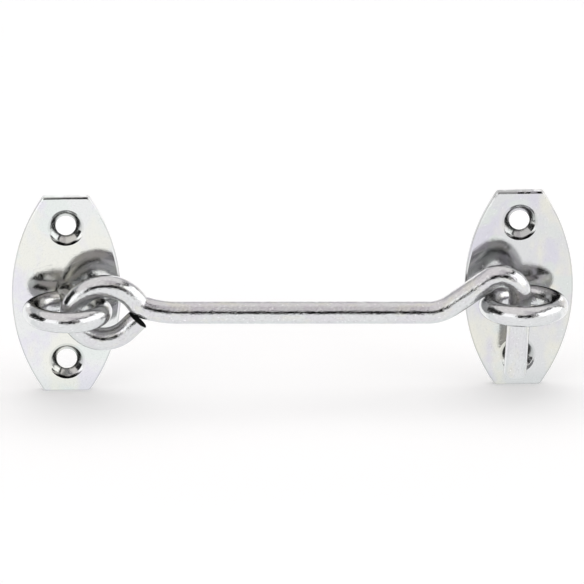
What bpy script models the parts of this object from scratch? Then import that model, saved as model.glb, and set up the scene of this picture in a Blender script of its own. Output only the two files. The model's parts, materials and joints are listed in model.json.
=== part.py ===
"""Hook and eye latch, nominal length 100 mm: a wire hook and two wire eyes on pressed plates.

+X runs from the hook's plate to the keep's plate, +Y into the wall and +Z up. The origin is the
centre of the keep plate's back face, where the wall touches it. Lengths are in metres and angles
in degrees. The latch is closed: the hook's limb hangs in the keep's eye.
"""
import math

import bmesh
import bpy
from mathutils import Euler, Vector

# Clearance kept between pieces that touch on the real latch
GAP = 0.0003

# Wire of the hook, and thinner wire of both eyes. Every bend is given by its inside radius
HOOK_WIRE_D = 0.0055
EYE_WIRE_D = 0.005
WIRE_BEVEL_RESOLUTION = 6
ARC_STEP = 10.0

# Plates: flat ends joined by two long arcs
PLATE_WIDTH = 0.0264
PLATE_HEIGHT = 0.0494
PLATE_END_FLAT = 0.0110
PLATE_THICKNESS = 0.002
PLATE_EDGE_ROUND = 0.0004
PLATE_PITCH = 0.110
SIDE_ARC_STEPS = 12

# Countersunk screw holes, one near each end of a plate
SCREW_HOLE_D = 0.0049
SCREW_SINK_D = 0.0082
SCREW_END_DISTANCE = 0.0077
HOLE_STEPS = 32

# Eyes: a ring in front of the plate, and a tail riveted in the plate
EYE_INSIDE_R = 0.0058
EYE_BEND_INSIDE_R = 0.0005
EYE_CLEAR_OF_PLATE = 0.0022
SPIGOT_D = 0.004
RIVET_FLARE = 0.0012
SHOULDER_CHAMFER = 0.00015

# Hook's free end, seen from the front, before it tips down onto the keep's eye
LIMB_INSET = 0.0009
LIMB_DROP = 0.0167
LIMB_LEAN = 2.0
TIP_ROUND = 0.0012
ARCH_INSIDE_R = 0.0021
ARCH_RISE = 0.0092
RISE_ANGLE = 35.8
RISE_INSIDE_R = 0.00625

# Hook's loop round the first eye, from the bar to the cut end of the wire
NECK_INSIDE_R = 0.0225
NECK_ANGLE = 19.0
CREASE_INSIDE_R = 0.0003
CREASE_ANGLE = 38.0
LOOP_TOP_INSIDE_R = 0.0062
LOOP_TOP_ANGLE = 112.0
LOOP_SIDE_INSIDE_R = 0.0019
LOOP_SIDE_ANGLE = 54.0
LOOP_FOOT_INSIDE_R = 0.0052
LOOP_FOOT_ANGLE = 116.5
TAIL_CUT_ANGLE = 50.0

# The loop hangs on the eye's wire with this play, at this angle seen from the top bend's centre
LOOP_PLAY = 0.0009
LOOP_SEAT_ANGLE = 108.0

ZINC_PLATE = {"name": "zinc_plate", "color": (0.76, 0.76, 0.78, 1.0), "roughness": 0.28}
ZINC_WIRE = {"name": "zinc_wire", "color": (0.78, 0.78, 0.79, 1.0), "roughness": 0.12}

HOOK_WIRE_R = HOOK_WIRE_D / 2.0
EYE_WIRE_R = EYE_WIRE_D / 2.0
EYE_RING_R = EYE_INSIDE_R + EYE_WIRE_R
RING_DEPTH = PLATE_THICKNESS + EYE_CLEAR_OF_PLATE + EYE_WIRE_R + EYE_RING_R
KEEP_REACH = PLATE_PITCH - 2.0 * EYE_RING_R
PIVOT = Vector((EYE_RING_R - PLATE_PITCH, -RING_DEPTH, 0.0))


def direction(angle):
    """Unit vector in a plan, at an angle from its first axis."""
    return Vector((math.cos(math.radians(angle)), math.sin(math.radians(angle))))


class Route:
    """Centreline of a wire in a plan: straight runs and arcs, each tangent to the last."""

    def __init__(self, start, heading, wire_r):
        self.points = [Vector(start)]
        self.heading = heading
        self.wire_r = wire_r

    def forward(self, length):
        self.points.append(self.points[-1] + length * direction(self.heading))

    def turn(self, inside_radius, angle):
        """Bend to the left by a positive angle, and to the right by a negative one.

        Returns the bend's centre.
        """
        radius = inside_radius + self.wire_r
        side = math.copysign(90.0, angle)
        centre = self.points[-1] + radius * direction(self.heading + side)
        steps = max(2, math.ceil(abs(angle) / ARC_STEP))
        for step in range(1, steps + 1):
            turned = self.heading + angle * step / steps
            self.points.append(centre - radius * direction(turned + side))
        self.heading += angle
        return centre


def new_material(look):
    material = bpy.data.materials.new(look["name"])
    material.use_nodes = True
    shader = material.node_tree.nodes["Principled BSDF"]
    shader.inputs["Base Color"].default_value = look["color"]
    shader.inputs["Metallic"].default_value = 1.0
    shader.inputs["Roughness"].default_value = look["roughness"]
    return material


def new_collection(name):
    collection = bpy.data.collections.new(name)
    bpy.context.scene.collection.children.link(collection)
    return collection


def new_object(name, data, collection):
    obj = bpy.data.objects.new(name, data)
    collection.objects.link(obj)
    return obj


def baked_mesh(obj, name):
    """Mesh of an object as the viewport shows it, with its caps welded. The object is removed."""
    bpy.context.view_layer.update()
    evaluated = obj.evaluated_get(bpy.context.evaluated_depsgraph_get())
    mesh = bpy.data.meshes.new_from_object(evaluated)
    mesh.name = name
    bpy.data.objects.remove(obj)
    shell = bmesh.new()
    shell.from_mesh(mesh)
    bmesh.ops.remove_doubles(shell, verts=shell.verts, dist=1e-6)
    bmesh.ops.recalc_face_normals(shell, faces=shell.faces)
    shell.to_mesh(mesh)
    shell.free()
    return mesh


def wire_mesh(name, points, radii, wire_r, collection):
    """Round wire along 3-D points. Each radius is a share of the wire's own."""
    curve = bpy.data.curves.new(name, "CURVE")
    curve.dimensions = "3D"
    curve.bevel_depth = wire_r
    curve.bevel_resolution = WIRE_BEVEL_RESOLUTION
    curve.use_fill_caps = True
    spline = curve.splines.new("POLY")
    spline.points.add(len(points) - 1)
    for target, point, radius in zip(spline.points, points, radii):
        target.co = (*point, 1.0)
        target.radius = radius
    return baked_mesh(new_object(name, curve, collection), name)


def mitre_end(mesh, end, heading, cut_normal, wire_r):
    """Slide the wire's end ring along its heading onto a plane through the end point."""
    reach = wire_r * 1.02
    for vertex in mesh.vertices:
        if (vertex.co - end).length < reach:
            vertex.co -= heading * ((vertex.co - end).dot(cut_normal) / heading.dot(cut_normal))


def shade_round(obj):
    obj.data.shade_smooth()
    obj.data.set_sharp_from_angle(angle=math.radians(40.0))


def side_arc(side):
    """Points of a plate's long edge on side +1 or -1, in the order that goes round the plate."""
    half_height = PLATE_HEIGHT / 2.0
    bulge = (PLATE_WIDTH - PLATE_END_FLAT) / 2.0
    radius = (half_height ** 2 + bulge ** 2) / (2.0 * bulge)
    reach = math.degrees(math.asin(half_height / radius))
    centre = PLATE_WIDTH / 2.0 - radius
    points = []
    for step in range(SIDE_ARC_STEPS + 1):
        spot = radius * direction(reach * (2.0 * step / SIDE_ARC_STEPS - 1.0))
        points.append((side * (centre + spot.x), side * spot.y))
    return points


def plate_mesh(name, collection):
    """Blank of a plate, its back face at y = 0 and its front face at -PLATE_THICKNESS."""
    curve = bpy.data.curves.new(name, "CURVE")
    curve.dimensions = "2D"
    curve.fill_mode = "BOTH"
    curve.extrude = PLATE_THICKNESS / 2.0
    outline = side_arc(1) + side_arc(-1)
    spline = curve.splines.new("POLY")
    spline.points.add(len(outline) - 1)
    for target, point in zip(spline.points, outline):
        target.co = (*point, 0.0, 1.0)
    spline.use_cyclic_u = True
    mesh = baked_mesh(new_object(name, curve, collection), name)
    upright = Euler((math.radians(90.0), 0.0, 0.0)).to_matrix().to_4x4()
    upright.translation.y = -PLATE_THICKNESS / 2.0
    mesh.transform(upright)
    return mesh


def turned_cutter(name, profile, collection):
    """Turned cutter whose axis runs along Y. The profile lists (radius, y), from the wall outwards."""
    mesh = bpy.data.meshes.new(name)
    corners = [(radius, 0.0, -y) for radius, y in reversed(profile)]
    mesh.from_pydata(corners, [(i, i + 1) for i in range(len(corners) - 1)], [])
    obj = new_object(name, mesh, collection)
    screw = obj.modifiers.new("Turn", "SCREW")
    screw.axis = "Z"
    screw.steps = HOLE_STEPS
    screw.render_steps = HOLE_STEPS
    screw.use_merge_vertices = True
    screw.merge_threshold = 1e-6
    obj.rotation_euler.x = math.radians(90.0)
    obj.hide_render = True
    obj.display_type = "WIRE"
    return obj


def screw_hole_profile():
    """Straight hole with a 90 degree countersink in the plate's front face."""
    hole_r = SCREW_HOLE_D / 2.0
    sink_r = SCREW_SINK_D / 2.0
    over = PLATE_THICKNESS
    front = -PLATE_THICKNESS
    return [
        (0.0, over),
        (hole_r, over),
        (hole_r, front + sink_r - hole_r),
        (sink_r + over, front - over),
        (0.0, front - over),
    ]


def rivet_hole_profile():
    """Hole for an eye's tail, with a 90 degree countersink in the plate's back face."""
    hole_r = SPIGOT_D / 2.0 + GAP
    mouth_r = SPIGOT_D / 2.0 + RIVET_FLARE + GAP * math.sqrt(2.0)
    over = PLATE_THICKNESS
    return [
        (0.0, over),
        (mouth_r + over, over),
        (hole_r, hole_r - mouth_r),
        (hole_r, -PLATE_THICKNESS - over),
        (0.0, -PLATE_THICKNESS - over),
    ]


def drill(plate, cutter, height):
    """Cut a hole through a plate, at a height above its middle."""
    cutter.parent = plate
    cutter.location.z = height
    cut = plate.modifiers.new(cutter.name, "BOOLEAN")
    cut.operation = "DIFFERENCE"
    cut.solver = "EXACT"
    cut.object = cutter


def add_plate(name, base, material, parts, cutters):
    plate = new_object(name, plate_mesh(name, parts), parts)
    plate.parent = base
    plate.data.materials.append(material)
    edge = plate.modifiers.new("Edge", "BEVEL")
    edge.width = PLATE_EDGE_ROUND
    edge.segments = 2
    edge.limit_method = "ANGLE"
    edge.angle_limit = math.radians(20.0)
    height = PLATE_HEIGHT / 2.0 - SCREW_END_DISTANCE
    holes = {"upper_screw": height, "lower_screw": -height}
    for hole, place in holes.items():
        drill(plate, turned_cutter(f"{name}_{hole}_cutter", screw_hole_profile(), cutters), place)
    drill(plate, turned_cutter(f"{name}_rivet_cutter", rivet_hole_profile(), cutters), 0.0)
    return plate


def eye_route():
    """Eye seen in plan: its tail in the plate, the shank, a bend to +X and the ring, clockwise.

    The ring ends in a square cut whose outer corner lies one clearance from the shank's side.
    Returns the points and their radii as shares of the wire's.
    """
    shoulder = PLATE_THICKNESS + GAP
    spigot = SPIGOT_D / EYE_WIRE_D
    head = (SPIGOT_D / 2.0 + RIVET_FLARE) / EYE_WIRE_R
    route = Route((0.0, 0.0), -90.0, EYE_WIRE_R)
    route.forward(RIVET_FLARE)
    route.forward(shoulder - SHOULDER_CHAMFER - RIVET_FLARE)
    route.forward(SHOULDER_CHAMFER)
    radii = [head, spigot, spigot, 1.0]
    bend_r = EYE_BEND_INSIDE_R + EYE_WIRE_R
    reach = EYE_RING_R + bend_r
    bend_angle = math.degrees(math.acos(bend_r / reach))
    bend_depth = RING_DEPTH - math.sqrt(reach ** 2 - bend_r ** 2)
    route.forward(bend_depth - shoulder)
    route.turn(EYE_BEND_INSIDE_R, bend_angle)
    closing = math.degrees(math.acos(-(EYE_WIRE_R + GAP) / (EYE_RING_R + EYE_WIRE_R)))
    route.turn(EYE_INSIDE_R, closing - 360.0 - bend_angle)
    radii += [1.0] * (len(route.points) - len(radii))
    return route.points, radii


def add_eye(name, base, material, parts):
    points, radii = eye_route()
    path = [Vector((point.x, point.y, 0.0)) for point in points]
    eye = new_object(name, wire_mesh(name, path, radii, EYE_WIRE_R, parts), parts)
    eye.parent = base
    eye.data.materials.append(material)
    shade_round(eye)
    return eye


def loop_route():
    """Loop from the end of the bar, which is the origin here, to its cut end under the bar.

    Returns the route, and the place of the eye's wire in the loop.
    """
    route = Route((0.0, 0.0), 180.0, HOOK_WIRE_R)
    route.turn(NECK_INSIDE_R, -NECK_ANGLE)
    route.turn(CREASE_INSIDE_R, -CREASE_ANGLE)
    neck = list(route.points)
    top_centre = route.turn(LOOP_TOP_INSIDE_R, LOOP_TOP_ANGLE)
    route.turn(LOOP_SIDE_INSIDE_R, LOOP_SIDE_ANGLE)
    route.turn(LOOP_FOOT_INSIDE_R, LOOP_FOOT_ANGLE)
    cut = direction(TAIL_CUT_ANGLE)
    underside = min(point.dot(cut) for point in neck) - HOOK_WIRE_R - GAP
    ahead = direction(route.heading)
    route.forward((underside - route.points[-1].dot(cut)) / ahead.dot(cut))
    seat = LOOP_TOP_INSIDE_R - EYE_WIRE_R - LOOP_PLAY
    return route, top_centre + seat * direction(LOOP_SEAT_ANGLE)


def hook_route():
    """Hook seen from the front, from its tip to the cut end of its loop. The pivot is the origin.

    Returns the points, their radii as shares of the wire's, and the heading at the end.
    """
    loop, pivot = loop_route()
    limb_x = pivot.x + PLATE_PITCH - EYE_RING_R - LIMB_INSET
    tip_z = pivot.y - LIMB_DROP
    limb = direction(90.0 - LIMB_LEAN)
    arch_r = ARCH_INSIDE_R + HOOK_WIRE_R
    arch_foot = Vector((limb_x - arch_r, ARCH_RISE - arch_r)) + arch_r * direction(-LIMB_LEAN)
    tip = arch_foot - (arch_foot.y - tip_z) / limb.y * limb
    route = Route(tip, 90.0 - LIMB_LEAN, HOOK_WIRE_R)
    radii = [1.0 - TIP_ROUND / HOOK_WIRE_R]
    for angle in (30.0, 60.0, 90.0):
        out = TIP_ROUND * (1.0 - math.cos(math.radians(angle)))
        route.points.append(tip + out * limb)
        radii.append(1.0 - TIP_ROUND * (1.0 - math.sin(math.radians(angle))) / HOOK_WIRE_R)
    route.points.append(arch_foot)
    route.turn(ARCH_INSIDE_R, 90.0 + LIMB_LEAN + RISE_ANGLE)
    bend_top = (RISE_INSIDE_R + HOOK_WIRE_R) * (1.0 - math.cos(math.radians(RISE_ANGLE)))
    route.forward((route.points[-1].y - bend_top) / math.sin(math.radians(RISE_ANGLE)))
    route.turn(RISE_INSIDE_R, -RISE_ANGLE)
    points = [point - pivot for point in route.points + loop.points]
    radii += [1.0] * (len(points) - len(radii))
    return points, radii, loop.heading


def distance_to_route(spot, points):
    """Shortest distance from a spot in the plan to a chain of straight lines."""
    shortest = math.inf
    for start, end in zip(points, points[1:]):
        along = end - start
        share = min(1.0, max(0.0, (spot - start).dot(along) / along.length_squared))
        shortest = min(shortest, (spot - start - share * along).length)
    return shortest


def seat_angle(points):
    """Angle by which the hook tips down until it lies one clearance above the keep's eye."""
    lifted, sunk = -12.0, 12.0
    clear = HOOK_WIRE_R + EYE_WIRE_R + GAP
    for _ in range(40):
        angle = (lifted + sunk) / 2.0
        eye_wire = KEEP_REACH * direction(angle)
        if distance_to_route(eye_wire, points) > clear:
            lifted = angle
        else:
            sunk = angle
    return lifted


def add_hook(name, material, parts):
    points, radii, heading = hook_route()
    path = [Vector((point.x, 0.0, point.y)) for point in points]
    mesh = wire_mesh(name, path, radii, HOOK_WIRE_R, parts)
    ahead = direction(heading)
    cut = direction(TAIL_CUT_ANGLE)
    cut_normal = Vector((cut.x, 0.0, cut.y))
    mitre_end(mesh, path[-1], Vector((ahead.x, 0.0, ahead.y)), cut_normal, HOOK_WIRE_R)
    hook = new_object(name, mesh, parts)
    hook.data.materials.append(material)
    hook.location = PIVOT
    hook.rotation_euler.y = math.radians(seat_angle(points))
    shade_round(hook)
    return hook


def add_base(name, x):
    """Empty at the centre of a plate's back face, which carries the plate and its eye."""
    base = new_object(name, None, bpy.context.scene.collection)
    base.location.x = x
    return base


def main():
    for obj in list(bpy.data.objects):
        bpy.data.objects.remove(obj, do_unlink=True)
    parts = new_collection("hook_and_eye_latch")
    cutters = new_collection("cutters")
    plate_look = new_material(ZINC_PLATE)
    wire_look = new_material(ZINC_WIRE)
    keep = add_base("keep", 0.0)
    add_plate("keep_plate", keep, plate_look, parts, cutters)
    add_eye("keep_eye", keep, wire_look, parts)
    mount = add_base("hook_mount", -PLATE_PITCH)
    add_plate("hook_plate", mount, plate_look, parts, cutters)
    add_eye("hook_plate_eye", mount, wire_look, parts)
    add_hook("hook_arm", wire_look, parts)


main()
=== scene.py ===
"""Looks of a hook and eye latch: two pressed zinc plates, two riveted wire eyes and the wire hook.

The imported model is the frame. Each of its five solids gets a finely modelled piece that stands for
it, swept or pressed from the same sizes. Lengths are in metres and angles in degrees. +X runs from
the hook's plate to the keep's plate, +Y into the wall and +Z up.
"""
from __future__ import annotations

import json
import logging
import math
from collections.abc import Callable, Mapping, Sequence
from dataclasses import dataclass, field
from enum import Enum
from typing import Union

import bpy
import numpy as np
from mathutils import Matrix, Vector

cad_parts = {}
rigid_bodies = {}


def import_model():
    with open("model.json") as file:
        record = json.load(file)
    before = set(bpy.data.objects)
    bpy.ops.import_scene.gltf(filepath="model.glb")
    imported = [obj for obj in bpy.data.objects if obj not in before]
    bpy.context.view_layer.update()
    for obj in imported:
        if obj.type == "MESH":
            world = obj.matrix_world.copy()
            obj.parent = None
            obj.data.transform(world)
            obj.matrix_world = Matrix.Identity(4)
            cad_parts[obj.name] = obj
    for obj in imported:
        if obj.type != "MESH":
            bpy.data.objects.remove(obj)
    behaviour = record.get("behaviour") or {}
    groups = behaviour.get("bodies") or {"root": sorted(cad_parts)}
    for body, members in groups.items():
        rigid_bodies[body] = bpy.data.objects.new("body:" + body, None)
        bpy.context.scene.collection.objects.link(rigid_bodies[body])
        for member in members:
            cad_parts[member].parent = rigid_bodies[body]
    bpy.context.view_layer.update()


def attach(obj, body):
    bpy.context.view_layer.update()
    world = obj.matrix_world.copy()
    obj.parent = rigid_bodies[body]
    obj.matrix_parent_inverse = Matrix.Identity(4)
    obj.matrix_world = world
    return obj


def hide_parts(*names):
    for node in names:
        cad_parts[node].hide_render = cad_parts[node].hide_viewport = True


log = logging.getLogger("latch")

PLATE_THICKNESS = 0.002
PLATE_PITCH = 0.110
PIVOT = Vector((-0.1017, -0.015, 0.0))
PLATE_FOOT = -0.0247

MILLIMETRES = 1000.0
MERGE_BELOW = 1e-7
UNBENT = "unbent"
CUT = "cut"

Colour = tuple[float, float, float]
Pair = tuple[float, float]


class Body(Enum):
    """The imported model's bodies."""

    KEEP = "keep"
    HOOK_MOUNT = "hook_mount"
    HOOK = "hook_arm"


class Slot(Enum):
    """The record's material slots."""

    WIRE = "zinc_wire"
    PLATE = "zinc_plate"


class Gauge(Enum):
    """Radius of each kind of wire."""

    HOOK = 0.00275
    EYE = 0.0025


class Axis(Enum):
    """Place of each axis in a vector."""

    X = 0
    Y = 1
    Z = 2


@dataclass(frozen=True)
class Signal:
    """One output socket of a node graph. Arithmetic on it adds Math nodes."""

    graph: "Graph"
    socket: bpy.types.NodeSocket | None

    def maths(self, operation: str, first: "Operand", second: "Operand" = 0.0) -> "Signal":
        """Math node.

        Args:
            operation: The node's operation.
            first: Its first value.
            second: Its second value.

        Returns:
            The node's result.
        """
        return self.graph.node("ShaderNodeMath", {"operation": operation}, {0: first, 1: second})

    def __add__(self, other: "Operand") -> "Signal":
        """Sum."""
        return self.maths("ADD", self, other)

    def __radd__(self, other: "Operand") -> "Signal":
        """Sum, from the right."""
        return self.maths("ADD", other, self)

    def __sub__(self, other: "Operand") -> "Signal":
        """Difference."""
        return self.maths("SUBTRACT", self, other)

    def __rsub__(self, other: "Operand") -> "Signal":
        """Difference, from the right."""
        return self.maths("SUBTRACT", other, self)

    def __mul__(self, other: "Operand") -> "Signal":
        """Product."""
        return self.maths("MULTIPLY", self, other)

    def __rmul__(self, other: "Operand") -> "Signal":
        """Product, from the right."""
        return self.maths("MULTIPLY", other, self)

    def __neg__(self) -> "Signal":
        """Negative."""
        return self.maths("MULTIPLY", self, -1.0)

    def __abs__(self) -> "Signal":
        """Size without sign."""
        return self.maths("ABSOLUTE", self)

    def ramp(self, low: float, high: float) -> "Signal":
        """Smooth step.

        Args:
            low: Value that gives 0.
            high: Value that gives 1. It may be the smaller of the two.

        Returns:
            The step, from 0 to 1.
        """
        settings = {"interpolation_type": "SMOOTHSTEP"}
        if low <= high:
            return self.graph.node("ShaderNodeMapRange", settings, {0: self, 1: low, 2: high})
        return 1.0 - self.graph.node("ShaderNodeMapRange", settings, {0: self, 1: high, 2: low})


Operand = Union[Signal, float]


@dataclass(frozen=True)
class Graph:
    """Node tree of a material or of the world, filled by one method."""

    tree: bpy.types.NodeTree

    def node(
        self,
        kind: str,
        settings: Mapping[str, object] | None = None,
        sockets: Mapping[int | str, object] | None = None,
        output: int | str = 0,
    ) -> Signal:
        """Add a node, also one that ends the tree and has no output.

        Args:
            kind: The node's type.
            settings: Its properties, set before its sockets.
            sockets: Value or link of each input, by name or number.
            output: The output that is wanted.

        Returns:
            That output.
        """
        node = self.tree.nodes.new(kind)
        for name, value in (settings or {}).items():
            setattr(node, name, value)
        for name, value in (sockets or {}).items():
            if isinstance(value, Signal):
                self.tree.links.new(value.socket, node.inputs[name])
            else:
                node.inputs[name].default_value = value
        return Signal(self, node.outputs[output] if len(node.outputs) else None)

    def scaled(self, vector: Signal, scale: Sequence[float]) -> Signal:
        """Vector times a scale on each axis."""
        settings = {"operation": "MULTIPLY"}
        return self.node("ShaderNodeVectorMath", settings, {0: vector, 1: tuple(scale)})

    def part(self, vector: Signal, axis: Axis) -> Signal:
        """Part of a vector along one axis."""
        return self.node("ShaderNodeSeparateXYZ", None, {0: vector}, output=axis.value)

    def noise(self, vector: Signal, scale: float, detail: float, rough: float) -> Signal:
        """Noise value about 0.5.

        Args:
            vector: Where it is read.
            scale: Its scale.
            detail: Its octaves.
            rough: How much each finer octave counts.

        Returns:
            The noise.
        """
        sockets = {"Vector": vector, "Scale": scale, "Detail": detail, "Roughness": rough}
        return self.node("ShaderNodeTexNoise", None, sockets)

    def blend(self, factor: Operand, first: object, second: object) -> Signal:
        """Mix of two colours.

        Args:
            factor: Share of the second.
            first: Colour or signal.
            second: Colour or signal.

        Returns:
            The mixed colour.
        """
        colours = [value if isinstance(value, Signal) else (*value, 1.0) for value in (first, second)]
        sockets = {0: factor, 6: colours[0], 7: colours[1]}
        return self.node("ShaderNodeMix", {"data_type": "RGBA"}, sockets, output=2)

    def bump(self, height: Signal, depth: float, below: Signal | None = None) -> Signal:
        """Bump node.

        Args:
            height: Height from 0 to 1.
            depth: What a height of 1 measures, in metres.
            below: Normal that this bump is laid on.

        Returns:
            The bumped normal.
        """
        sockets = {"Height": height, "Distance": depth, "Strength": 1.0}
        if below is not None:
            sockets["Normal"] = below
        return self.node("ShaderNodeBump", None, sockets)


def new_graph(name: str) -> tuple[bpy.types.Material, Graph]:
    """Empty material.

    Args:
        name: The material's name.

    Returns:
        The material and its graph.
    """
    material = bpy.data.materials.new(name)
    material.use_nodes = True
    material.node_tree.nodes.clear()
    return material, Graph(material.node_tree)


@dataclass(frozen=True)
class Pattern:
    """Noise over a piece, whose scale is in repeats for each millimetre."""

    scale: float
    detail: float
    rough: float
    stretch: tuple[float, float, float] = (1.0, 1.0, 1.0)
    span: Pair = (0.0, 1.0)

    def value(self, graph: Graph, where: Signal) -> Signal:
        """Value of the noise, about 0.5."""
        return graph.noise(graph.scaled(where, self.stretch), self.scale, self.detail, self.rough)

    def mask(self, graph: Graph, where: Signal) -> Signal:
        """Smooth step of the noise over its span."""
        return self.value(graph, where).ramp(*self.span)


@dataclass(frozen=True)
class WireFinish:
    """Bright zinc on drawn wire: polished, with draw lines along it, faint lilac and cream tints,
    painted white glints, and a near-black painted shadow on the hook's cut end.
    """

    name: str = "bright_zinc_wire"
    clear: Colour = (0.80, 0.81, 0.815)
    lilac: Colour = (0.785, 0.77, 0.80)
    cream: Colour = (0.82, 0.815, 0.77)
    pit: Colour = (0.34, 0.33, 0.33)
    # Near white of the painted glints, white specks mixed into the colour.
    painted_glint: Colour = (0.98, 0.98, 0.98)
    # Near black of the hook's cut end face: a painted shadow where it faces the bar.
    cut_end_shadow: Colour = (0.02, 0.02, 0.02)
    lilac_clouds: Pattern = Pattern(0.16, 3.0, 0.55, span=(0.42, 0.62))
    cream_veils: Pattern = Pattern(0.30, 3.0, 0.6, (0.5, 1.0, 1.0), (0.50, 0.72))
    streaks: Pattern = Pattern(1.7, 4.0, 0.6, (0.16, 1.0, 1.0), (0.42, 0.78))
    ripples: Pattern = Pattern(0.42, 2.0, 0.45, (0.35, 1.0, 1.0))
    grains: Pattern = Pattern(1.9, 3.0, 0.6, (0.6, 1.0, 1.0))
    grime: Pattern = Pattern(2.7, 3.0, 0.6, (0.5, 1.0, 1.0), (0.48, 0.72))
    specks: Pattern = Pattern(3.1, 2.0, 0.5, (0.6, 1.0, 1.0), (0.70, 0.78))
    painted_glints: Pattern = Pattern(2.2, 2.0, 0.5, (0.7, 1.0, 1.0), (0.65, 0.70))
    grime_share: float = 0.16
    speck_share: float = 0.35
    painted_glint_share: float = 0.8
    roughness: float = 0.035
    streak_roughness: float = 0.04
    speck_roughness: float = 0.12
    veil_roughness: float = 0.06
    dull_veils: Pair = (0.46, 0.70)
    streak_depth: float = 0.000014
    grain_depth: float = 0.000075
    ripple_depth: float = 0.000030

    def material(self) -> bpy.types.Material:
        """Make the material. It reads the wire's own straightened coordinates, in millimetres."""
        material, graph = new_graph(self.name)
        wire = graph.node("ShaderNodeAttribute", {"attribute_name": UNBENT}, output="Vector")
        cut = graph.node("ShaderNodeAttribute", {"attribute_name": CUT}, output="Fac")
        streak = self.streaks.value(graph, wire)
        veil = self.cream_veils.value(graph, wire)
        speck = self.specks.mask(graph, wire)
        painted_glint = self.painted_glints.mask(graph, wire)
        tint = graph.blend(self.lilac_clouds.mask(graph, wire), self.clear, self.lilac)
        tint = graph.blend(veil.ramp(*self.cream_veils.span), tint, self.cream)
        dirt = speck * self.speck_share + self.grime.mask(graph, wire) * self.grime_share
        colour = graph.blend(dirt, tint, self.pit)
        # Painted glints: white specks mixed into the colour.
        colour = graph.blend(painted_glint * self.painted_glint_share, colour, self.painted_glint)
        roughness = self.roughness + self.streak_roughness * streak.ramp(*self.streaks.span)
        roughness = roughness + self.speck_roughness * speck
        roughness = roughness + self.veil_roughness * veil.ramp(*self.dull_veils)
        normal = graph.bump(self.ripples.value(graph, wire), self.ripple_depth)
        normal = graph.bump(self.grains.value(graph, wire), self.grain_depth, normal)
        normal = graph.bump(streak - self.speck_share * speck, self.streak_depth, normal)
        sockets = {"Base Color": colour, "Metallic": 1.0, "Roughness": roughness, "Normal": normal}
        plated = graph.node("ShaderNodeBsdfPrincipled", None, sockets)
        # The cut end face is drawn as a near-black diffuse surface: a painted shadow.
        painted_shadow_cut = graph.node("ShaderNodeBsdfDiffuse", None, {"Color": (*self.cut_end_shadow, 1.0)})
        shader = graph.node("ShaderNodeMixShader", None, {0: cut, 1: plated, 2: painted_shadow_cut})
        graph.node("ShaderNodeOutputMaterial", None, {"Surface": shader})
        return material


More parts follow.
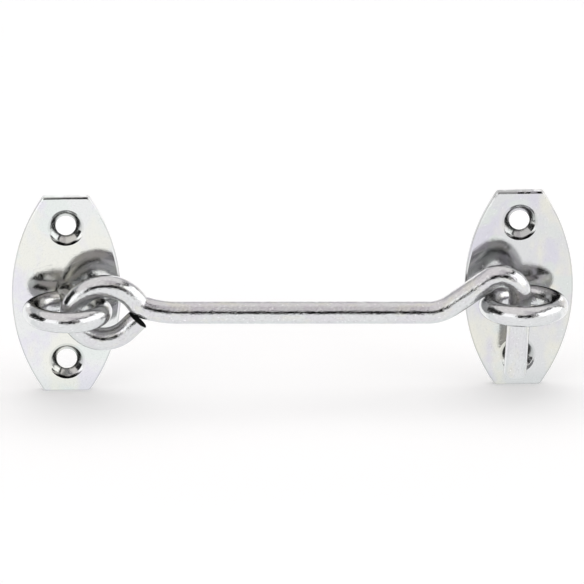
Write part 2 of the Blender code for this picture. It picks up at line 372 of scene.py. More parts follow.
@dataclass(frozen=True)
class PlateFinish:
    """Satin zinc on pressed sheet: clouded tints, fine speckle, a few hair scratches, painted white
    glints and painted shade on its edges and countersink walls.
    """

    name: str
    centre: float
    clear: Colour = (0.79, 0.795, 0.80)
    lilac: Colour = (0.765, 0.75, 0.82)
    cream: Colour = (0.86, 0.85, 0.775)
    green: Colour = (0.79, 0.82, 0.80)
    # Near white of the hair scratches and of the painted glints.
    scratch_and_glint: Colour = (0.97, 0.97, 0.98)
    # Dark tone of the grime, also used for the painted shade on edges and countersink walls.
    rim: Colour = (0.40, 0.41, 0.40)
    lilac_clouds: Pattern = Pattern(0.11, 3.0, 0.55, span=(0.46, 0.58))
    cream_veils: Pattern = Pattern(0.085, 3.0, 0.5, (1.0, 1.0, 0.6), (0.49, 0.60))
    green_blooms: Pattern = Pattern(0.16, 2.0, 0.5, (0.7, 1.0, 1.0), (0.52, 0.66))
    swells: Pattern = Pattern(0.22, 2.0, 0.5)
    grains: Pattern = Pattern(4.2, 3.0, 0.6, span=(0.40, 0.75))
    grime: Pattern = Pattern(2.9, 3.0, 0.65, span=(0.48, 0.72))
    painted_glints: Pattern = Pattern(1.7, 3.0, 0.6, span=(0.64, 0.70))
    painted_glint_blooms: Pair = (0.42, 0.58)
    wear: Pattern = Pattern(0.33, 2.0, 0.5, span=(0.40, 0.48))
    scratch_lines: tuple[tuple[float, float, Pattern], ...] = (
        (24.0, 0.0, Pattern(0.55, 0.0, 0.5, (0.16, 1.0, 1.6))),
        (-52.0, 37.0, Pattern(0.55, 0.0, 0.5, (0.20, 1.0, 1.6))),
        (83.0, 71.0, Pattern(0.55, 0.0, 0.5, (0.24, 1.0, 1.6))),
    )
    scratch_patches: Pattern = Pattern(0.31, 1.0, 0.5, span=(0.56, 0.64))
    scratch_edge: Pair = (0.006, 0.001)
    scratch_share: float = 0.7
    scratch_height: float = 0.6
    grime_share: float = 0.12
    painted_glint_share: float = 0.6
    edge_shade_share: float = 0.38
    roll_turn: Pair = (0.995, 0.98)
    edge_shade_turn: Pair = (0.985, 0.90)
    sink_turn: Pair = (0.92, 0.82)
    roughness: float = 0.05
    grain_roughness: float = 0.07
    scratch_roughness: float = 0.15
    sink_roughness: float = 0.07
    roll_wear: float = 0.30
    worn_ends: Pair = (22.5, 23.5)
    grain_depth: float = 0.0000065
    swell_depth: float = 0.000022
    bow_radius: float = 150.0
    lean: float = 4.0

    def material(self) -> bpy.types.Material:
        """Make the material. It reads object coordinates, in millimetres."""
        material, graph = new_graph(self.name)
        place = graph.node("ShaderNodeTexCoord", output="Object")
        sheet = graph.scaled(place, (MILLIMETRES, MILLIMETRES, MILLIMETRES))
        facing = abs(graph.part(graph.node("ShaderNodeTexCoord", output="Normal"), Axis.Y))
        up = graph.part(sheet, Axis.Z)
        grain = self.grains.value(graph, sheet)
        bloom = self.green_blooms.value(graph, sheet)
        hair = self.scratches(graph, sheet)
        painted_glint = self.painted_glints.mask(graph, sheet) * bloom.ramp(*self.painted_glint_blooms)
        tint = graph.blend(self.lilac_clouds.mask(graph, sheet), self.clear, self.lilac)
        tint = graph.blend(self.cream_veils.mask(graph, sheet), tint, self.cream)
        tint = graph.blend(bloom.ramp(*self.green_blooms.span), tint, self.green)
        colour = graph.blend(self.grime.mask(graph, sheet) * self.grime_share, tint, self.rim)
        # Painted glints share the scratches' near white, mixed into the colour.
        bright = hair * self.scratch_share + painted_glint * self.painted_glint_share
        colour = graph.blend(bright, colour, self.scratch_and_glint)
        # Painted shade: faces turned away from the sheet, on its edges and countersink walls, are
        # darkened towards the rim tone.
        colour = graph.blend(facing.ramp(*self.edge_shade_turn) * self.edge_shade_share, colour, self.rim)
        worn = self.wear.mask(graph, sheet) * facing.ramp(*self.roll_turn)
        worn = worn * abs(up).ramp(*self.worn_ends)
        roughness = self.roughness + self.grain_roughness * grain.ramp(*self.grains.span)
        roughness = roughness + self.scratch_roughness * hair + self.roll_wear * worn
        roughness = roughness + self.sink_roughness * facing.ramp(*self.sink_turn)
        normal = graph.bump(self.bowed(graph, sheet), 1.0 / MILLIMETRES)
        normal = graph.bump(self.swells.value(graph, sheet), self.swell_depth, normal)
        normal = graph.bump(grain + self.scratch_height * hair, self.grain_depth, normal)
        sockets = {"Base Color": colour, "Metallic": 1.0, "Roughness": roughness, "Normal": normal}
        shader = graph.node("ShaderNodeBsdfPrincipled", None, sockets)
        graph.node("ShaderNodeOutputMaterial", None, {"Surface": shader})
        return material

    def bowed(self, graph: Graph, sheet: Signal) -> Signal:
        """Height of the sheet, which is bowed a little across and leans back.

        Args:
            graph: The material's graph.
            sheet: Place on the plate, in millimetres.

        Returns:
            Height in millimetres.
        """
        across = graph.part(sheet, Axis.X) - MILLIMETRES * self.centre
        up = graph.part(sheet, Axis.Z)
        return across * across * (-0.5 / self.bow_radius) - up * math.tan(math.radians(self.lean))

    def scratches(self, graph: Graph, sheet: Signal) -> Signal:
        """Hair scratches in three directions.

        Args:
            graph: The material's graph.
            sheet: Place on the plate, in millimetres.

        Returns:
            Mask of the scratches.
        """
        mask: Operand = 0.0
        for turn, where, lines in self.scratch_lines:
            settings = {"rotation_type": "Y_AXIS"}
            sockets = {"Vector": sheet, "Center": (where, 0.0, where), "Angle": math.radians(turn)}
            turned = graph.node("ShaderNodeVectorRotate", settings, sockets)
            line = abs(lines.value(graph, turned) - 0.5).ramp(*self.scratch_edge)
            mask = line * self.scratch_patches.mask(graph, turned) + mask
        return mask


class Bench:
    """The operators that shape a piece by hand, each on what is selected."""

    @staticmethod
    def clear() -> None:
        """Leave edit mode and select nothing."""
        if bpy.context.object is not None and bpy.context.object.mode != "OBJECT":
            bpy.ops.object.mode_set(mode="OBJECT")
        bpy.ops.object.select_all(action="DESELECT")

    @staticmethod
    def disc(name: str, sides: int, radius: float, place: Vector, facing: Vector) -> bpy.types.Object:
        """New ring, left in edit mode and selected all over.

        Args:
            name: Name of the piece.
            sides: Sides of the circle.
            radius: Radius of the circle.
            place: Its centre.
            facing: Its normal.

        Returns:
            The piece, at the origin.
        """
        Bench.clear()
        turn = facing.to_track_quat("Z", "Y").to_euler()
        bpy.ops.mesh.primitive_circle_add(
            vertices=sides, radius=radius, fill_type="NOTHING", location=place, rotation=turn
        )
        piece = bpy.context.object
        piece.name = name
        piece.data.name = name
        bpy.ops.object.transform_apply(location=True, rotation=True, scale=True)
        Bench.edit()
        return piece

    @staticmethod
    def take(piece: bpy.types.Object) -> None:
        """Select one piece alone and make it the active one."""
        Bench.clear()
        piece.select_set(True)
        bpy.context.view_layer.objects.active = piece

    @staticmethod
    def edit() -> None:
        """Enter edit mode with everything selected."""
        bpy.ops.object.mode_set(mode="EDIT")
        Bench.pick_all()

    @staticmethod
    def leave() -> None:
        """Leave edit mode."""
        bpy.ops.object.mode_set(mode="OBJECT")

    @staticmethod
    def pick_all() -> None:
        """Select the whole mesh."""
        bpy.ops.mesh.select_all(action="SELECT")

    @staticmethod
    def bevel(width: float, segments: int) -> None:
        """Round the selected edges and leave edit mode."""
        bpy.ops.mesh.bevel(offset=width, segments=segments, profile=0.5, affect="EDGES")
        Bench.leave()

    @staticmethod
    def extrude(move: Vector) -> None:
        """Extrude the selection along a vector."""
        bpy.ops.mesh.extrude_region_move(TRANSFORM_OT_translate={"value": move})

    @staticmethod
    def resize(scale: float, centre: Vector) -> None:
        """Scale the selection about a point."""
        bpy.ops.transform.resize(value=(scale, scale, scale), center_override=centre)

    @staticmethod
    def spin(steps: int, angle: float, centre: Vector, axis: Vector) -> None:
        """Spin the selection.

        Args:
            steps: Steps of the spin.
            angle: Angle in degrees, right-handed about the axis.
            centre: A point on the axis.
            axis: The axis.
        """
        bpy.ops.mesh.spin(steps=steps, dupli=False, angle=-math.radians(angle), center=centre, axis=axis)

    @staticmethod
    def pick_none(piece: bpy.types.Object) -> None:
        """Clear the selection flags of a piece in object mode."""
        for group in (piece.data.vertices, piece.data.edges, piece.data.polygons):
            group.foreach_set("select", [False] * len(group))

    @staticmethod
    def pick_edges(piece: bpy.types.Object, wanted: Callable[[Vector], bool], longest: float) -> None:
        """Enter edit mode with edges selected by the place of their ends.

        Args:
            piece: The piece.
            wanted: Whether an end is in the right place.
            longest: Length that the edges stay below.
        """
        Bench.clear()
        bpy.context.view_layer.objects.active = piece
        Bench.pick_none(piece)
        spots = piece.data.vertices
        for edge in piece.data.edges:
            first, last = (spots[index].co for index in edge.vertices)
            edge.select = (last - first).length < longest and wanted(first) and wanted(last)
        bpy.context.tool_settings.mesh_select_mode = (False, True, False)
        bpy.ops.object.mode_set(mode="EDIT")

    @staticmethod
    def pick_faces(piece: bpy.types.Object, wanted: Callable[[Vector], bool]) -> None:
        """Enter edit mode with faces selected by the place of their centres.

        Args:
            piece: The piece.
            wanted: Whether a centre is in the right place.
        """
        Bench.clear()
        bpy.context.view_layer.objects.active = piece
        Bench.pick_none(piece)
        for face in piece.data.polygons:
            face.select = wanted(face.center)
        bpy.context.tool_settings.mesh_select_mode = (False, False, True)
        bpy.ops.object.mode_set(mode="EDIT")

    @staticmethod
    def finish(piece: bpy.types.Object, sharp_from: float) -> None:
        """Merge doubles, turn the faces outwards and shade the piece.

        Args:
            piece: The piece, in edit mode or not.
            sharp_from: Angle from which an edge stays sharp.
        """
        Bench.take(piece)
        Bench.edit()
        bpy.ops.mesh.remove_doubles(threshold=MERGE_BELOW)
        bpy.ops.mesh.normals_make_consistent(inside=False)
        Bench.leave()
        bpy.ops.object.shade_smooth_by_angle(angle=math.radians(sharp_from))

    @staticmethod
    def modify(piece: bpy.types.Object, kind: str, settings: Mapping[str, object]) -> None:
        """Add a modifier and apply it.

        Args:
            piece: The piece.
            kind: The modifier's type.
            settings: Its properties.
        """
        Bench.take(piece)
        bpy.ops.object.modifier_add(type=kind)
        modifier = piece.modifiers[-1]
        for name, value in settings.items():
            setattr(modifier, name, value)
        bpy.ops.object.modifier_apply(modifier=modifier.name)


@dataclass(frozen=True)
class Plan:
    """The flat plan in which a wire is bent."""

    origin: Vector
    right: Vector
    up: Vector
    tilt: float = 0.0

    @property
    def axis(self) -> Vector:
        """Axis about which a positive angle bends to the left."""
        return self.right.cross(self.up)

    def direction(self, heading: float) -> Vector:
        """Unit vector at a heading."""
        angle = math.radians(heading + self.tilt)
        return self.right * math.cos(angle) + self.up * math.sin(angle)

    def point(self, across: float, along: float) -> Vector:
        """Point of the plan in the row frame."""
        return self.origin + across * self.direction(0.0) + along * self.direction(90.0)


@dataclass
class Wire:
    """A length of wire in the making. Its open end is selected, and every step carries it on."""

    name: str
    gauge: Gauge
    plan: Plan
    start: Pair
    heading: float
    radius: float = 0.0
    sides: int = 64
    arc_step: float = 3.0
    least_steps: int = 4
    rim_segments: int = 3
    # Whether the last end is cut, so that its face gets the painted shadow.
    shaded_cut_end: bool = False
    stations: list[Vector] = field(default_factory=list)
    piece: bpy.types.Object | None = None

    def begin(self, radius: float) -> None:
        """Add the first ring.

        Args:
            radius: The ring's radius, where the wire starts narrower or wider.
        """
        place = self.plan.point(*self.start)
        facing = self.plan.direction(self.heading)
        self.radius = radius
        self.piece = Bench.disc(self.name, self.sides, radius, place, facing)
        self.stations = [place]

    def forward(self, length: float, radius: float | None = None) -> None:
        """Run straight on.

        Args:
            length: Length of the run.
            radius: Radius at its far end, where it changes.
        """
        move = length * self.plan.direction(self.heading)
        Bench.extrude(move)
        self.stations.append(self.stations[-1] + move)
        if radius is not None:
            Bench.resize(radius / self.radius, self.stations[-1])
            self.radius = radius

    def turn(self, inside_radius: float, angle: float) -> None:
        """Bend, to the left by a positive angle.

        Args:
            inside_radius: Radius inside the bend.
            angle: Angle of the bend.
        """
        reach = inside_radius + self.gauge.value
        side = math.copysign(90.0, angle)
        place = self.stations[-1]
        centre = place + reach * self.plan.direction(self.heading + side)
        steps = max(self.least_steps, math.ceil(abs(angle) / self.arc_step))
        Bench.spin(steps, angle, centre, self.plan.axis)
        for step in range(1, steps + 1):
            turned = self.heading + angle * step / steps
            self.stations.append(centre - reach * self.plan.direction(turned + side))
        self.heading += angle

    def round_off(self, rounding: float, steps: int = 8) -> None:
        """Grow from a rounded tip to the full wire.

        Args:
            rounding: Radius of the rounding.
            steps: Rings of the rounding.
        """
        done = 0.0
        for step in range(1, steps + 1):
            angle = math.radians(90.0 * step / steps)
            reached = rounding * (1.0 - math.cos(angle))
            self.forward(reached - done, self.gauge.value - rounding * (1.0 - math.sin(angle)))
            done = reached

    def shear(self, cut: float) -> None:
        """Cut the last run off through its end, whose face the finish paints near black as a painted
        shadow.

        Args:
            cut: Heading of the cut's normal.
        """
        self.shaded_cut_end = True
        spare = 2.0 * self.gauge.value
        Bench.extrude(spare * self.plan.direction(self.heading))
        bpy.ops.mesh.select_more()
        bpy.ops.mesh.select_more()
        bpy.ops.mesh.bisect(
            plane_co=self.stations[-1],
            plane_no=self.plan.direction(cut),
            use_fill=False,
            clear_outer=True,
        )

    def complete(self, rim: float, sharp_from: float = 40.0) -> bpy.types.Object:
        """Close the ends, break their rims and shade the wire.

        Args:
            rim: Rounding of the rim of each flat end.
            sharp_from: Angle from which an edge stays sharp.

        Returns:
            The finished piece.
        """
        Bench.pick_all()
        bpy.ops.mesh.fill_holes(sides=0)
        Bench.leave()
        self.break_rims(rim)
        Bench.finish(self.piece, sharp_from)
        self.mark_unbent()
        return self.piece

    def break_rims(self, width: float) -> None:
        """Round the rims of the flat ends, and mark the cut one for the finish's painted shadow.

        Args:
            width: Width of the rounding.
        """
        mesh = self.piece.data
        caps = [face for face in mesh.polygons if len(face.vertices) > 4]
        rims = {key for face in caps for key in face.edge_keys}
        cut = mesh.attributes.new(CUT, "FLOAT", "FACE")
        for face in caps:
            last = (face.center - self.stations[-1]).length < 2.0 * self.gauge.value
            cut.data[face.index].value = float(self.shaded_cut_end and last)
        Bench.pick_none(self.piece)
        for edge in mesh.edges:
            edge.select = edge.key in rims
        bpy.context.tool_settings.mesh_select_mode = (False, True, False)
        bpy.ops.object.mode_set(mode="EDIT")
        Bench.bevel(width, self.rim_segments)

    def mark_unbent(self) -> None:
        """Store where each point would lie on the straight wire, in millimetres, for the finish."""
        mesh = self.piece.data
        spots = np.empty(len(mesh.vertices) * 3, np.float32)
        mesh.vertices.foreach_get("co", spots)
        spots = spots.reshape(-1, 3).astype(float)
        line = np.array([tuple(station) for station in self.stations])
        runs = np.diff(line, axis=0)
        lengths = np.linalg.norm(runs, axis=1)
        before = np.concatenate(([0.0], np.cumsum(lengths)))[:-1]
        nearest = np.full(len(spots), np.inf)
        unbent = np.zeros((len(spots), 3))
        sideways = np.array(self.plan.axis)
        tie = 1e-9
        for start, run, length, passed in zip(line, runs, lengths, before):
            ahead = run / length
            offset = spots - start
            share = np.clip(offset @ ahead, 0.0, length)
            away = offset - np.outer(share, ahead)
            distance = np.linalg.norm(away, axis=1)
            closer = distance < nearest - tie
            nearest[closer] = distance[closer]
            raised = away @ np.cross(sideways, ahead)
            found = np.stack((passed + share, away @ sideways, raised), axis=1)
            unbent[closer] = found[closer]
        attribute = mesh.attributes.new(UNBENT, "FLOAT_VECTOR", "POINT")
        attribute.data.foreach_set("vector", (unbent * MILLIMETRES).astype(np.float32).ravel())


@dataclass
class HookArm:
    """The hook: one bent wire, from the rounded tip of its limb to the cut end of its loop."""

    node: str = "hook_arm"
    tilt: float = -0.769873
    tip: Pair = (0.10008138, -0.0167)
    tip_heading: float = 88.0
    tip_round: float = 0.0012
    limb: float = 0.01930645
    arch: Pair = (0.0021, 127.8)
    rise: float = 0.0112542
    rise_foot: Pair = (0.00625, -35.8)
    bar: float = 0.06056355
    neck: Pair = (0.0225, -19.0)
    crease: Pair = (0.0003, -38.0)
    loop_top: Pair = (0.0062, 112.0)
    loop_side: Pair = (0.0019, 54.0)
    loop_foot: Pair = (0.0052, 116.5)
    tail: float = 0.00355835
    tail_cut: float = 50.0
    rim: float = 0.00012

    def build(self, finish: bpy.types.Material) -> bpy.types.Object:
        """Bend the wire.

        Args:
            finish: The wire's material.

        Returns:
            The finished piece.
        """
        plan = Plan(PIVOT, Vector((1.0, 0.0, 0.0)), Vector((0.0, 0.0, 1.0)), self.tilt)
        wire = Wire("hook_wire", Gauge.HOOK, plan, self.tip, self.tip_heading)
        wire.begin(Gauge.HOOK.value - self.tip_round)
        wire.round_off(self.tip_round)
        wire.forward(self.limb)
        wire.turn(*self.arch)
        wire.forward(self.rise)
        wire.turn(*self.rise_foot)
        wire.forward(self.bar)
        for bend in (self.neck, self.crease, self.loop_top, self.loop_side, self.loop_foot):
            wire.turn(*bend)
        wire.forward(self.tail)
        wire.shear(self.tail_cut)
        piece = wire.complete(self.rim)
        dress(piece, finish, Body.HOOK, self.node)
        return piece


@dataclass
class WireEye:
    """A wire eye: tail riveted in the plate, shank, tight bend and a ring that closes on the shank."""

    tail: float = 0.0012
    tail_head: float = 0.0032
    spigot: float = 0.002
    spigot_length: float = 0.00095
    shoulder: float = 0.00015
    shank: float = 0.0018055
    bend: Pair = (0.0005, 74.6041)
    ring: Pair = (0.0058, -329.5780)
    rim: float = 0.00010

    def build(self, finish: bpy.types.Material) -> list[bpy.types.Object]:
        """Bend one eye and copy it to the other plate.

        Args:
            finish: The wire's material.

        Returns:
            The eye of the keep's plate and that of the hook's.
        """
        plan = Plan(Vector(), Vector((1.0, 0.0, 0.0)), Vector((0.0, 1.0, 0.0)))
        wire = Wire("keep_ring", Gauge.EYE, plan, (0.0, 0.0), -90.0)
        wire.begin(self.tail_head)
        wire.forward(self.tail, self.spigot)
        wire.forward(self.spigot_length)
        wire.forward(self.shoulder, Gauge.EYE.value)
        wire.forward(self.shank)
        wire.turn(*self.bend)
        wire.turn(*self.ring)
        keep = wire.complete(self.rim)
        other = copy_across(keep, "hook_plate_ring", -PLATE_PITCH)
        dress(keep, finish, Body.KEEP, "keep_eye")
        dress(other, finish, Body.HOOK_MOUNT, "hook_plate_eye")
        return [keep, other]


def rounded_profile(corners: Sequence[tuple[float, float, float]], steps: int = 6) -> list[Pair]:
    """Round the corners of a turned profile.

    Args:
        corners: Radius, depth and rounding radius of each corner.
        steps: Steps of each rounding.

    Returns:
        Radius and depth of each ring.
    """
    profile = []
    for index, (radius, depth, rounding) in enumerate(corners):
        spot = Vector((radius, depth))
        if rounding <= 0.0:
            profile.append((radius, depth))
            continue
        back = (Vector(corners[index - 1][:2]) - spot).normalized()
        ahead = (Vector(corners[index + 1][:2]) - spot).normalized()
        half = back.angle(ahead) / 2.0
        centre = spot + (back + ahead).normalized() * (rounding / math.sin(half))
        first = spot + back * (rounding / math.tan(half)) - centre
        last = spot + ahead * (rounding / math.tan(half)) - centre
        for step in range(steps + 1):
            arm = first.slerp(last, step / steps)
            profile.append(tuple(centre + arm.normalized() * rounding))
    return profile


@dataclass
class BackPlate:
    """A pressed plate: barrel-shaped outline, two countersunk screw holes and the rivet's hole."""

    width: float = 0.0264
    height: float = 0.0494
    end_flat: float = 0.0110
    corner_round: float = 0.0005
    edge_roll: float = 0.00048
    edge_drop: float = 0.00017
    roll_blend: float = 0.00018
    lip_break: float = 0.00010
    back_round: float = 0.00015
    screw_at: float = 0.0170
    screw_hole: float = 0.00245
    screw_sink: float = 0.0041
    sink_mouth: float = 0.00455
    sink_roll: float = 0.00385
    lip_round: float = 0.00018
    rivet_hole: float = 0.0023
    rivet_mouth: float = 0.0036243
    sink_rim: float = 0.00022
    sink_blend: float = 0.0005
    outline_sides: int = 300
    hole_sides: int = 96
    round_segments: int = 5
    break_segments: int = 3
    straight_below: float = 0.02
    sharp_from: float = 32.0

    def build(
        self, keep_finish: bpy.types.Material, hook_finish: bpy.types.Material
    ) -> list[bpy.types.Object]:
        """Press one plate and copy it.

        Args:
            keep_finish: Material of the keep's plate.
            hook_finish: Material of the hook's plate, the same zinc in lighter colours as painted light.

        Returns:
            The keep's plate and the hook's.
        """
        keep = self.blank()
        for name, profile, height in self.holes():
            self.pierce(keep, self.cutter(name, profile, height))
        self.break_sink_rims(keep)
        Bench.finish(keep, self.sharp_from)
        Bench.modify(keep, "WEIGHTED_NORMAL", {"keep_sharp": True, "weight": 100})
        other = copy_across(keep, "hook_back_plate", -PLATE_PITCH)
        dress(keep, keep_finish, Body.KEEP, "keep_plate")
        dress(other, hook_finish, Body.HOOK_MOUNT, "hook_plate")
        return [keep, other]

    def blank(self) -> bpy.types.Object:
        """Blank of the plate, with rounded edges and no holes.

        Returns:
            The blank.
        """
        half = self.height / 2.0
        bulge = (self.width - self.end_flat) / 2.0
        radius = (half ** 2 + bulge ** 2) / (2.0 * bulge)
        centre = Vector((self.width / 2.0 - radius, 0.0, 0.0))
        toward_room = Vector((0.0, -1.0, 0.0))
        plate = Bench.disc("keep_back_plate", self.outline_sides, radius, centre, toward_room)
        for place, normal in (
            (Vector(), Vector((-1.0, 0.0, 0.0))),
            (Vector((0.0, 0.0, half)), Vector((0.0, 0.0, 1.0))),
            (Vector((0.0, 0.0, -half)), Vector((0.0, 0.0, -1.0))),
        ):
            Bench.pick_all()
            bpy.ops.mesh.bisect(plane_co=place, plane_no=normal, clear_outer=True)
        Bench.leave()
        Bench.modify(plate, "MIRROR", {"use_mirror_merge": False})
        Bench.edit()
        bpy.ops.mesh.bridge_edge_loops()
        Bench.pick_all()
        bpy.ops.mesh.dissolve_faces()
        Bench.pick_all()
        bpy.ops.mesh.dissolve_limited(angle_limit=math.radians(self.straight_below))
        Bench.pick_all()
        Bench.extrude(Vector((0.0, self.edge_drop - PLATE_THICKNESS, 0.0)))
        Bench.pick_all()
        bpy.ops.mesh.normals_make_consistent(inside=False)
        Bench.leave()
        self.round_edges(plate)
        return plate

    def round_edges(self, plate: bpy.types.Object) -> None:
        """Round the corners, roll the front edge over as a press does and break the other edges.

        Args:
            plate: The blank, with sharp edges.
        """
        reach = 0.00001
        top = self.height / 2.0 - reach
        lip = self.edge_drop - PLATE_THICKNESS
        Bench.pick_edges(plate, lambda spot: abs(spot.z) > top, PLATE_THICKNESS)
        Bench.bevel(self.corner_round, self.round_segments)
        Bench.pick_faces(plate, lambda spot: spot.y < lip + reach)
        bpy.ops.mesh.inset(thickness=self.edge_roll, depth=self.edge_drop)
        Bench.leave()
        steps = (
            (lambda spot: spot.y < reach - PLATE_THICKNESS, self.roll_blend, self.round_segments),
            (lambda spot: abs(spot.y - lip) < reach, self.lip_break, self.break_segments),
            (lambda spot: spot.y > -reach, self.back_round, self.break_segments),
        )
        for wanted, width, segments in steps:
            Bench.pick_edges(plate, wanted, self.width)
            Bench.bevel(width, segments)

    def holes(self) -> list[tuple[str, list[Pair], float]]:
        """Turned shapes of the plate's holes.

        Returns:
            Name, profile of radius and depth from the wall outwards, and height of each.
        """
        over = PLATE_THICKNESS
        front = -PLATE_THICKNESS
        throat = front + self.screw_sink - self.screw_hole
        roll_depth = self.screw_sink - self.sink_roll
        slope = roll_depth / (self.sink_mouth - self.sink_roll)
        screw = rounded_profile([
            (self.screw_hole, over, 0.0),
            (self.screw_hole, throat, self.lip_round),
            (self.sink_roll, front + roll_depth, self.sink_blend),
            (self.sink_mouth + over, front - over * slope, 0.0),
        ])
        rivet = [
            (self.rivet_mouth + over, over),
            (self.rivet_hole, self.rivet_hole - self.rivet_mouth),
            (self.rivet_hole, front - over),
        ]
        return [
            ("upper_screw", screw, self.screw_at),
            ("lower_screw", screw, -self.screw_at),
            ("rivet", rivet, 0.0),
        ]

    def break_sink_rims(self, plate: bpy.types.Object) -> None:
        """Round the countersinks' outer rims, which the press leaves soft.

        Args:
            plate: The pierced plate.
        """
        reach = 0.00002
        longest = 0.0004

        def on_rim(spot: Vector) -> bool:
            """Whether a point is on one of the rims."""
            away = math.hypot(spot.x, abs(spot.z) - self.screw_at)
            return abs(spot.y + PLATE_THICKNESS) < reach and abs(away - self.sink_mouth) < reach

        Bench.pick_edges(plate, on_rim, longest)
        Bench.bevel(self.sink_rim, self.round_segments)

    def cutter(self, name: str, profile: Sequence[Pair], height: float) -> bpy.types.Object:
        """Turned cutter.

        Args:
            name: Its name.
            profile: Radius and depth of each ring.
            height: Height of its axis.

        Returns:
            The closed cutter.
        """
        radius, depth = profile[0]
        place = Vector((0.0, depth, height))
        cutter = Bench.disc(name, self.hole_sides, radius, place, Vector((0.0, -1.0, 0.0)))
        for next_radius, next_depth in profile[1:]:
            Bench.extrude(Vector((0.0, next_depth - depth, 0.0)))
            Bench.resize(next_radius / radius, Vector((0.0, next_depth, height)))
            radius, depth = next_radius, next_depth
        Bench.pick_all()
        bpy.ops.mesh.fill_holes(sides=0)
        Bench.finish(cutter, self.sharp_from)
        return cutter

    @staticmethod
    def pierce(plate: bpy.types.Object, cutter: bpy.types.Object) -> None:
        """Cut a hole and throw the cutter away.

        Args:
            plate: The plate.
            cutter: The cutter.
        """
        Bench.modify(plate, "BOOLEAN", {"operation": "DIFFERENCE", "solver": "EXACT", "object": cutter})
        bpy.data.objects.remove(cutter)


def copy_across(piece: bpy.types.Object, name: str, shift: float) -> bpy.types.Object:
    """Copy a piece along X, with its own mesh.

    Args:
        piece: The piece.
        name: The copy's name.
        shift: How far it moves.

    Returns:
        The copy, with its place in its mesh.
    """
    Bench.take(piece)
    bpy.ops.object.duplicate(linked=False)
    copy = bpy.context.object
    copy.name = name
    copy.data.name = name
    bpy.ops.transform.translate(value=(shift, 0.0, 0.0))
    bpy.ops.object.transform_apply(location=True, rotation=True, scale=True)
    return copy


def dress(piece: bpy.types.Object, finish: bpy.types.Material, body: Body, node: str) -> None:
    """Give a piece its material and body, and hide the solid it stands for.

    Args:
        piece: The piece.
        finish: Its material.
        body: The body it rides on.
        node: The solid it replaces.
    """
    piece.data.materials.clear()
    piece.data.materials.append(finish)
    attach(piece, body.value)
    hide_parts(node)


@dataclass(frozen=True)
class Panel:
    """A light or dark field of the studio, seen in the metal."""

    azimuth: Pair
    elevation: Pair
    colour: Colour
    soft: float = 1.5


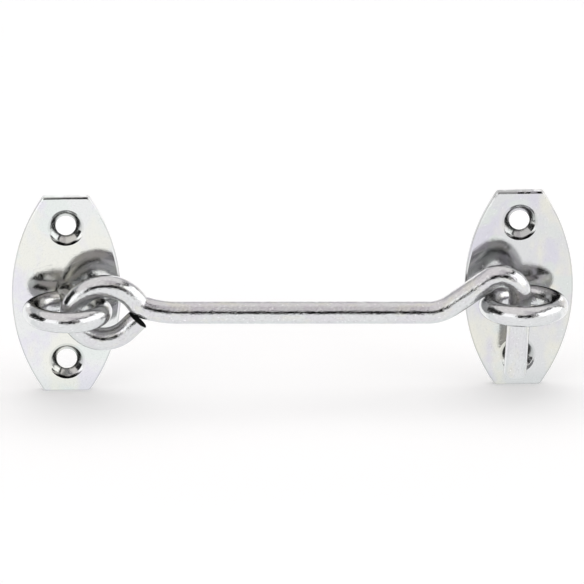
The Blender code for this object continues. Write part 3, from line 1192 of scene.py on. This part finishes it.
@dataclass(frozen=True)
class Studio:
    """White floor, a pale dome with light panels round it, and a dark opening at the camera."""

    dome: Colour = (0.80, 0.775, 0.77)
    horizon: Colour = (1.0, 1.0, 1.0)
    horizon_blend: Pair = (4.0, 13.0)
    deep_share: float = 0.42
    deep_dome: float = 2.5
    deep_floor: float = 1.5
    floor: Colour = (0.90, 0.90, 0.90)
    floor_glow: float = 0.30
    # Glow of the floor seen in reflections: even in front, darker near the plates' foot as painted
    # shadow, brighter behind the wall line as painted light.
    room_side_sheen: Colour = (0.925, 0.925, 0.93)
    foot_shadow_sheen: Colour = (0.84, 0.86, 0.86)
    wall_side_sheen: Colour = (1.04, 1.04, 1.04)
    foot_reach: Pair = (-0.030, -0.006)
    wall_line: Pair = (-0.003, 0.004)
    floor_half: float = 1.6
    lamp_power: float = 1.6
    lamp_side: float = 1.2
    lamp_height: float = 1.1
    lamp_forward: float = 0.1
    panels: tuple[Panel, ...] = (
        Panel((-180.0, -95.0), (26.0, 46.0), (0.46, 0.46, 0.47), 3.0),
        Panel((125.0, 180.0), (26.0, 46.0), (0.46, 0.46, 0.47), 3.0),
        Panel((-180.0, -150.0), (12.0, 23.0), (1.35, 1.35, 1.35), 2.0),
        Panel((150.0, 180.0), (12.0, 23.0), (1.35, 1.35, 1.35), 2.0),
        Panel((-62.0, -18.0), (5.0, 30.0), (1.25, 1.25, 1.25), 2.0),
        Panel((3.5, 60.0), (38.0, 80.0), (0.58, 0.55, 0.57), 3.0),
        Panel((-24.0, 25.0), (10.0, 33.0), (0.30, 0.29, 0.29), 4.0),
        Panel((-21.0, 21.0), (4.0, 28.0), (0.004, 0.004, 0.004), 1.5),
        Panel((3.0, 21.0), (2.5, 34.0), (0.004, 0.004, 0.004), 1.5),
        Panel((-118.0, -64.0), (3.5, 38.0), (0.02, 0.02, 0.02), 1.5),
        Panel((27.0, 124.0), (6.0, 56.0), (0.02, 0.02, 0.02), 1.0),
        Panel((33.0, 118.0), (7.0, 47.0), (1.35, 1.35, 1.35), 1.0),
    )

    def build(self) -> None:
        """Make the world, the floor and the lamp."""
        self.build_world()
        self.build_floor()
        self.build_lamp()

    def build_world(self) -> None:
        """Paint the dome and its panels by direction."""
        world = bpy.data.worlds.new("studio")
        bpy.context.scene.world = world
        world.use_nodes = True
        world.node_tree.nodes.clear()
        graph = Graph(world.node_tree)
        way = graph.node("ShaderNodeTexCoord", output="Generated")
        east = graph.part(way, Axis.X)
        north = graph.part(way, Axis.Y)
        height = graph.part(way, Axis.Z)
        degrees = math.degrees(1.0)
        azimuth = east.maths("ARCTAN2", east, -north) * degrees
        elevation = height.maths("ARCSINE", height) * degrees
        light = graph.blend(elevation.ramp(*self.horizon_blend), self.horizon, self.dome)
        for panel in self.panels:
            inside = self.inside(azimuth, panel.azimuth, panel.soft, 180.0)
            inside = inside * self.inside(elevation, panel.elevation, panel.soft, 90.0)
            light = graph.blend(inside, light, panel.colour)
        sockets = {"Color": light, "Strength": self.dimming(graph, self.deep_dome)}
        glow = graph.node("ShaderNodeBackground", None, sockets)
        graph.node("ShaderNodeOutputWorld", None, {"Surface": glow})

    def dimming(self, graph: Graph, depth_from: float) -> Signal:
        """Share of the light that is left in a reflection of a reflection, as in a small tent.

        Args:
            graph: The graph that needs it.
            depth_from: Ray depth above which a ray counts as such.

        Returns:
            1 for what is seen directly or in one reflection, and less for deeper ones.
        """
        glossy = graph.node("ShaderNodeLightPath", output="Is Glossy Ray")
        depth = graph.node("ShaderNodeLightPath", output="Ray Depth")
        deep = glossy * depth.maths("GREATER_THAN", depth, depth_from)
        return 1.0 - (1.0 - self.deep_share) * deep

    @staticmethod
    def inside(angle: Signal, span: Pair, soft: float, limit: float) -> Operand:
        """Mask of a span of angles.

        Args:
            angle: The angle.
            span: Where the mask starts and ends.
            soft: Half the width of its soft edges.
            limit: Angle at which the span is left open.

        Returns:
            The mask, which is plainly 1 for a span that is open at both ends.
        """
        low, high = span
        mask = angle.ramp(low - soft, low + soft) if low > -limit else 1.0
        if high < limit:
            mask = mask * angle.ramp(high + soft, high - soft)
        return mask

    def build_floor(self) -> None:
        """Lay a white floor under the plates, which keeps their shadow. In reflections it glows instead,
        with a painted shadow near the plates' foot and painted light behind the wall line.
        """
        Bench.clear()
        place = (-PLATE_PITCH / 2.0, 0.0, PLATE_FOOT)
        bpy.ops.mesh.primitive_plane_add(size=2.0 * self.floor_half, location=place)
        floor = bpy.context.object
        floor.name = "floor"
        bpy.ops.object.transform_apply(location=True, rotation=True, scale=True)
        material, graph = new_graph("white_floor")
        pale = graph.node("ShaderNodeBsdfDiffuse", None, {"Color": (*self.floor, 1.0)})
        camera = graph.node("ShaderNodeLightPath", output="Is Camera Ray")
        glossy = graph.node("ShaderNodeLightPath", output="Is Glossy Ray")
        through = graph.node("ShaderNodeLightPath", output="Is Transmission Ray")
        glow = (camera + through) * self.floor_glow
        direct = graph.node("ShaderNodeEmission", None, {"Strength": glow})
        lit = graph.node("ShaderNodeAddShader", None, {0: pale, 1: direct})
        # Glossy rays see the floor as a glowing sheet: painted shadow near the plates' foot, painted
        # light behind the wall line.
        place = graph.node("ShaderNodeTexCoord", output="Object")
        north = graph.part(place, Axis.Y)
        sheen = graph.blend(north.ramp(*self.foot_reach), self.room_side_sheen, self.foot_shadow_sheen)
        sheen = graph.blend(north.ramp(*self.wall_line), sheen, self.wall_side_sheen)
        sockets = {"Color": sheen, "Strength": self.dimming(graph, self.deep_floor)}
        seen = graph.node("ShaderNodeEmission", None, sockets)
        both = graph.node("ShaderNodeMixShader", None, {0: glossy, 1: lit, 2: seen})
        graph.node("ShaderNodeOutputMaterial", None, {"Surface": both})
        floor.data.materials.append(material)

    def build_lamp(self) -> None:
        """Hang one wide soft lamp over the latch."""
        Bench.clear()
        place = (-PLATE_PITCH / 2.0, -self.lamp_forward, self.lamp_height)
        bpy.ops.object.light_add(type="AREA", location=place)
        lamp = bpy.context.object
        lamp.name = "overhead_softbox"
        lamp.data.size = self.lamp_side
        lamp.data.energy = self.lamp_power
        lamp.visible_glossy = False


@dataclass(frozen=True)
class ViewCamera:
    """Long lens, a little above the latch and a little to the side of its loop."""

    aim: Vector = field(default_factory=lambda: Vector((-0.055255, -0.002, -0.000135)))
    distance: float = 1.5
    azimuth: float = -3.05
    elevation: float = 18.52
    roll: float = -0.22
    lens: float = 380.8
    nearest: float = 0.01

    def build(self) -> None:
        """Place the camera."""
        Bench.clear()
        rise = math.radians(self.elevation)
        swing = Matrix.Rotation(math.radians(self.azimuth), 4, "Z")
        back = swing @ Vector((0.0, -math.cos(rise), math.sin(rise)))
        look = swing @ Matrix.Rotation(math.pi / 2.0 - rise, 4, "X")
        turn = look @ Matrix.Rotation(math.radians(-self.roll), 4, "Z")
        bpy.ops.object.camera_add(location=self.aim + self.distance * back, rotation=turn.to_euler())
        camera = bpy.context.object
        camera.name = "view_camera"
        camera.data.lens = self.lens
        camera.data.clip_start = self.nearest
        bpy.context.scene.camera = camera


def main() -> None:
    """Load the frame, then make the camera, the studio and every piece."""
    logging.basicConfig(level=logging.INFO, format="%(name)s: %(message)s")
    for left_over in list(bpy.data.objects):
        bpy.data.objects.remove(left_over)
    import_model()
    bpy.context.scene.view_settings.view_transform = "Standard"
    ViewCamera().build()
    Studio().build()
    wire_finish = WireFinish().material()
    keep_finish = PlateFinish("satin_zinc_keep_plate", 0.0).material()
    # The hook's plate is the same zinc in lighter colours: painted light for its brighter look beside
    # the keep's plate.
    hook_finish = PlateFinish(
        "satin_zinc_hook_plate_painted_lighter",
        -PLATE_PITCH,
        clear=(0.91, 0.92, 0.915),
        lilac=(0.875, 0.86, 0.92),
        cream=(0.94, 0.94, 0.88),
        green=(0.88, 0.92, 0.895),
        roughness=0.04,
        roll_wear=0.08,
    ).material()
    pieces = [*BackPlate().build(keep_finish, hook_finish), *WireEye().build(wire_finish)]
    pieces.append(HookArm().build(wire_finish))
    for piece in pieces:
        log.info("%s: %d faces", piece.name, len(piece.data.polygons))
    Bench.clear()


if __name__ == "__main__":
    main()
